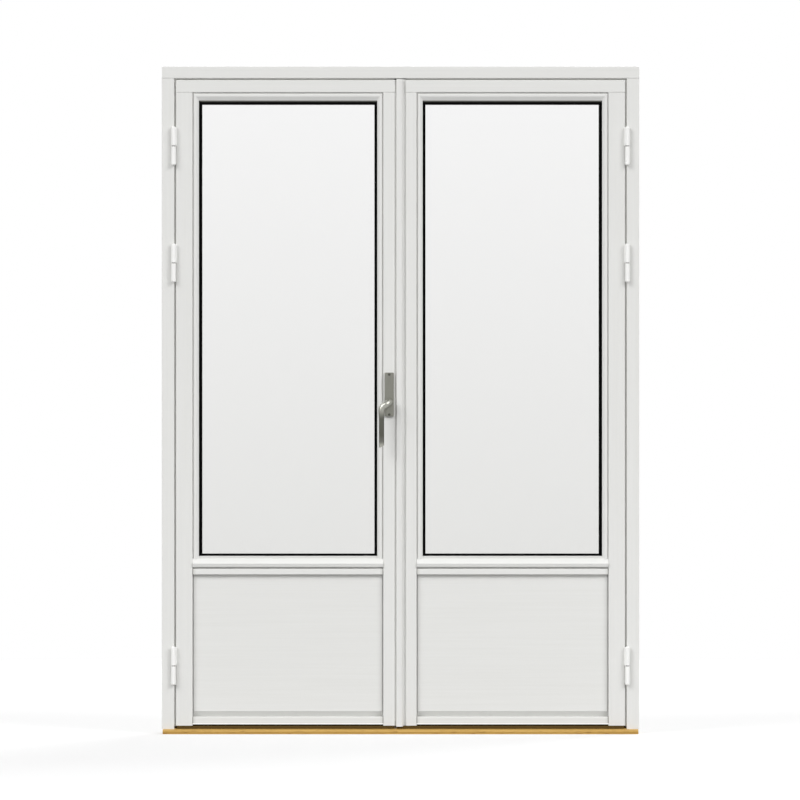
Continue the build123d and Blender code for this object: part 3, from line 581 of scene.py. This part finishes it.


# Painted shade: a dark grey strip under the top bead, where the bead's shade falls
tape_painted_shade_finish = extruded_rubber("dark grey glazing tape, painted bead shade", "#50504A", "#5C5C56", tape_mirror)
for hand, low_bead, high_bead in (("left", "hinge", "meeting"), ("right", "meeting", "hinge")):
    low_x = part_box(f"{hand}_{low_bead}_bead")[1].x
    high_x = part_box(f"{hand}_{high_bead}_bead")[0].x
    top_low, top_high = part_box(f"{hand}_top_bead")
    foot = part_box(f"{hand}_bottom_bead")[1].z
    lips = bmesh.new()
    for edge_x, way in ((low_x, 1), (high_x, -1)):
        section = lips.faces.new([
            lips.verts.new((edge_x + way * inwards * MM, top_low.y + bead_fall - forwards * MM, foot))
            for inwards, forwards in lip_section_mm])
        drawn = bmesh.ops.extrude_face_region(lips, geom=[section])["geom"]
        ends = [part for part in drawn if isinstance(part, bmesh.types.BMVert)]
        bmesh.ops.translate(lips, verts=ends, vec=(0, 0, top_low.z - foot))
    add_piece(f"{hand}_gasket_lips", f"{hand}_leaf", finishes["black_rubber"], lips)
    tape = bar((low_x, top_high.y - tape_thickness, top_low.z - tape_height),
               (high_x, top_high.y, top_low.z))
    add_piece(f"{hand}_glazing_tape_painted_shade", f"{hand}_leaf", tape_painted_shade_finish, tape)

# %% [markdown]
# ## Drip strips and the foot of the astragal
# A thin bright line runs along the foot of each bottom rail. It is taken for a drip strip, a flat
# white bar that throws the water off before it reaches the seal, and its bright white also stands as a
# painted highlight on the rail's lower edge. The moulded front of the astragal also runs a little past the
# stiles. Its lowest slice is cut out of a copy of the CAD mesh, closed, and moved down by its own height,
# so the section stays the same.

# %% Drip strips and astragal foot
highlight_strip_height = 3.4 * MM
highlight_strip_thickness = 0.6 * MM
for hand in ("left", "right"):
    rail_low, rail_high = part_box(f"{hand}_bottom_rail")
    # Painted highlight: a bright white strip along the lower edge of the rail
    strip = bar((rail_low.x, rail_low.y - highlight_strip_thickness, rail_low.z),
                (rail_high.x, rail_low.y, rail_low.z + highlight_strip_height))
    add_piece(f"{hand}_drip_strip_painted_highlight", f"{hand}_leaf", powder, strip)

foot_drop = 2.8 * MM
weld = 0.001 * MM
astragal_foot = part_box("astragal")[0].z
foot_slice = bmesh.new()
foot_slice.from_mesh(frame["nodes"]["astragal"].data)
bmesh.ops.remove_doubles(foot_slice, verts=foot_slice.verts, dist=weld)
for point, way in (((0, door_face_y, 0), (0, 1, 0)), ((0, 0, astragal_foot + foot_drop), (0, 0, 1))):
    everything = foot_slice.verts[:] + foot_slice.edges[:] + foot_slice.faces[:]
    bmesh.ops.bisect_plane(foot_slice, geom=everything, plane_co=point, plane_no=way, clear_outer=True)
    bmesh.ops.holes_fill(foot_slice, edges=[edge for edge in foot_slice.edges if edge.is_boundary])
bmesh.ops.translate(foot_slice, verts=foot_slice.verts, vec=(0, 0, -foot_drop))
print("open edges of the slice:", sum(edge.is_boundary for edge in foot_slice.edges))
add_piece("astragal_foot", "right_leaf", painted_upright, foot_slice)

# %% [markdown]
# ## Pile strips
# A brown line runs between the doors and the sill. It is taken for a pile strip: tufts of brown fibre
# in a thin black carrier under each leaf, which brush the sill and keep the draught out. Its brown also
# stands in for the shade under the leaves, as painted shade. The fibre is dull, and mottled from tuft to
# tuft.

# %% Pile fibre
tuft_fibre_mm = 0.8
pile, tree, shader = start_material("brown pile, stitched, painted shade under the leaves", {"Roughness": 0.9, "Specular IOR Level": 0.1})
fibres = noise(tree, [tuft_fibre_mm] * 3, Detail=2.0)
# Partly painted shade: the brown of the fibre also stands for the shade under the leaves
colour(tree, shader, tone_ramp(tree, fibres, ((0.0, "#50401E"), (1.0, "#6A5430"))))
print("pile finish:", pile.name)

# %% [markdown]
# Small squares mark where the tufts are stitched, in staggered rows; one extrusion draws them all down,
# and each end then stops just above the slope of the sill, with a little lean of its own.

# %% Pile strips
strip_setback = 1.5 * MM
strip_depth = 3 * MM
strip_end_gap = 3 * MM
tuft_width = 0.95 * MM
tuft_step = 1.1 * MM
tuft_lean = 0.3 * MM
pile_clearance = 0.4 * MM
nose_height = 12 * MM
slope_rise = 11.5 * MM
slope_depth = 54 * MM
chance = random.Random(11)

sill_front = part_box("sill")[0].y
strip_ends = {"left": ("left_hinge_stile", "left_meeting_stile"), "right": ("astragal", "right_hinge_stile")}
for hand, ends in strip_ends.items():
    start_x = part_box(ends[0])[0].x + strip_end_gap
    stop_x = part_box(ends[1])[1].x - strip_end_gap
    stile_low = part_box(f"{hand}_hinge_stile")[0]
    rail_low, rail_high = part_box(f"{hand}_bottom_rail")
    strip_front = stile_low.y + strip_setback

    strip = bmesh.new()
    rows = int(strip_depth / tuft_step)
    tufts = []
    for row in range(rows):
        y = strip_front + (row + 0.5) * strip_depth / rows
        x = start_x + tuft_width / 2 + (row % 2) * tuft_step / 2
        while x + tuft_width / 2 < stop_x:
            corners = [(x + across * tuft_width / 2, y + deep * tuft_width / 2, stile_low.z)
                       for across, deep in ((-1, -1), (1, -1), (1, 1), (-1, 1))]
            tufts.append(strip.faces.new([strip.verts.new(corner) for corner in corners]))
            x += tuft_step
    drawn = bmesh.ops.extrude_face_region(strip, geom=tufts)["geom"]
    for tuft in drawn:
        if isinstance(tuft, bmesh.types.BMFace):
            lean = Vector((chance.uniform(-1, 1), chance.uniform(-1, 1))) * tuft_lean
            for corner in tuft.verts:
                slope = nose_height + slope_rise * (corner.co.y + tuft_lean - sill_front) / slope_depth
                corner.co = (corner.co.x + lean.x, corner.co.y + lean.y, slope + pile_clearance)
    print(hand, "tufts:", len(tufts))
    add_piece(f"{hand}_pile_strip_painted_shade", f"{hand}_leaf", pile, strip)

    carrier = bar((rail_low.x, strip_front, stile_low.z),
                  (rail_high.x, strip_front + strip_depth, rail_low.z))
    add_piece(f"{hand}_pile_carrier", f"{hand}_leaf", finishes["black_rubber"], carrier)

# %% [markdown]
# ## The floor and the white around it
# The doors stand on a pale floor in a white surrounding. The floor is lit as any matt surface and adds
# just enough of its own white, for the camera, to meet that background, so a shadow still shows on it.

# %% Floor
floor_radius = 6
floor_mesh = bpy.data.meshes.new("floor")
sheet = bmesh.new()
bmesh.ops.create_circle(sheet, cap_ends=True, radius=floor_radius, segments=96)
sheet.to_mesh(floor_mesh)
sheet.free()
floor = bpy.data.objects.new("floor", floor_mesh)
bpy.context.scene.collection.objects.link(floor)


def seen_directly(tree):
    """One for camera, glossy and transmission rays, and zero for the light on surfaces."""
    path = add(tree, "ShaderNodeLightPath", {})
    two = arithmetic(tree, "MAXIMUM", path.outputs["Is Camera Ray"], path.outputs["Is Glossy Ray"])
    return arithmetic(tree, "MAXIMUM", two, path.outputs["Is Transmission Ray"])


floor_glow = 0.5
floor_finish, tree, shader = start_material("pale matt floor", {
    "Base Color": linear("#A8A8A8"), "Roughness": 0.9, "Emission Color": linear("#FFFFFF")})
glow = arithmetic(tree, "MULTIPLY", seen_directly(tree), floor_glow)
tree.links.new(glow, shader.inputs["Emission Strength"])
floor_mesh.materials.append(floor_finish)
print("floor radius:", floor_radius)

# %% [markdown]
# A catalogue picture has nothing else around the object, so the world is white to the camera, in
# reflections and through the glass, while the light that it gives the surfaces is a softer grey, a
# little brighter from above.

# %% World
sky_level = 0.40
horizon_level = 0.34
world = bpy.data.worlds.new("white studio")
world.use_nodes = True
bpy.context.scene.world = world
tree = world.node_tree
direction = add(tree, "ShaderNodeTexCoord", {})
up = add(tree, "ShaderNodeSeparateXYZ", {"Vector": direction.outputs["Generated"]})
level = add(tree, "ShaderNodeMapRange", {
    "Value": up.outputs["Z"], "From Min": 0.0, "From Max": 1.0,
    "To Min": horizon_level, "To Max": sky_level})
shown = add(tree, "ShaderNodeMix", {
    0: seen_directly(tree), 2: level.outputs["Result"], 3: 1.0}, data_type="FLOAT")
background = tree.nodes["Background"]
background.inputs["Color"].default_value = linear("#FFFFFF")
tree.links.new(shown.outputs[0], background.inputs["Strength"])
print("world:", world.name)

# %% [markdown]
# ## The lamps
# In the picture both sides of a recess are equally dark, and the faces that look up are the brightest.
# So the light comes from a pair of lamps, high at the left and at the right. A studio would use large
# soft boxes far away; sun lamps with a wide angle are the same light taken to the limit, and they fall
# evenly over a tall object. A third one behind the doors lights the room side, which the front lamps
# don't reach. Each lamp is a direction and a strength.

# %% Lamps
lamp_spread_degrees = 30
lamps = {
    "left soft box": ((-0.6, -0.58, 0.55), 1.6),
    "right soft box": ((0.6, -0.58, 0.55), 1.6),
    "back soft box": ((0.35, 0.7, 0.55), 1.5),
}
for name, (way, strength) in lamps.items():
    way = Vector(way).normalized()
    lamp_data = bpy.data.lights.new(name, "SUN")
    lamp_data.angle = math.radians(lamp_spread_degrees)
    lamp_data.energy = strength
    lamp = bpy.data.objects.new(name, lamp_data)
    bpy.context.scene.collection.objects.link(lamp)
    lamp.location = way * floor_radius
    lamp.rotation_euler = (-way).to_track_quat("-Z", "Y").to_euler()
    print(name, "at:", [round(c, 2) for c in lamp.location])
bpy.context.scene.view_settings.view_transform = "Standard"
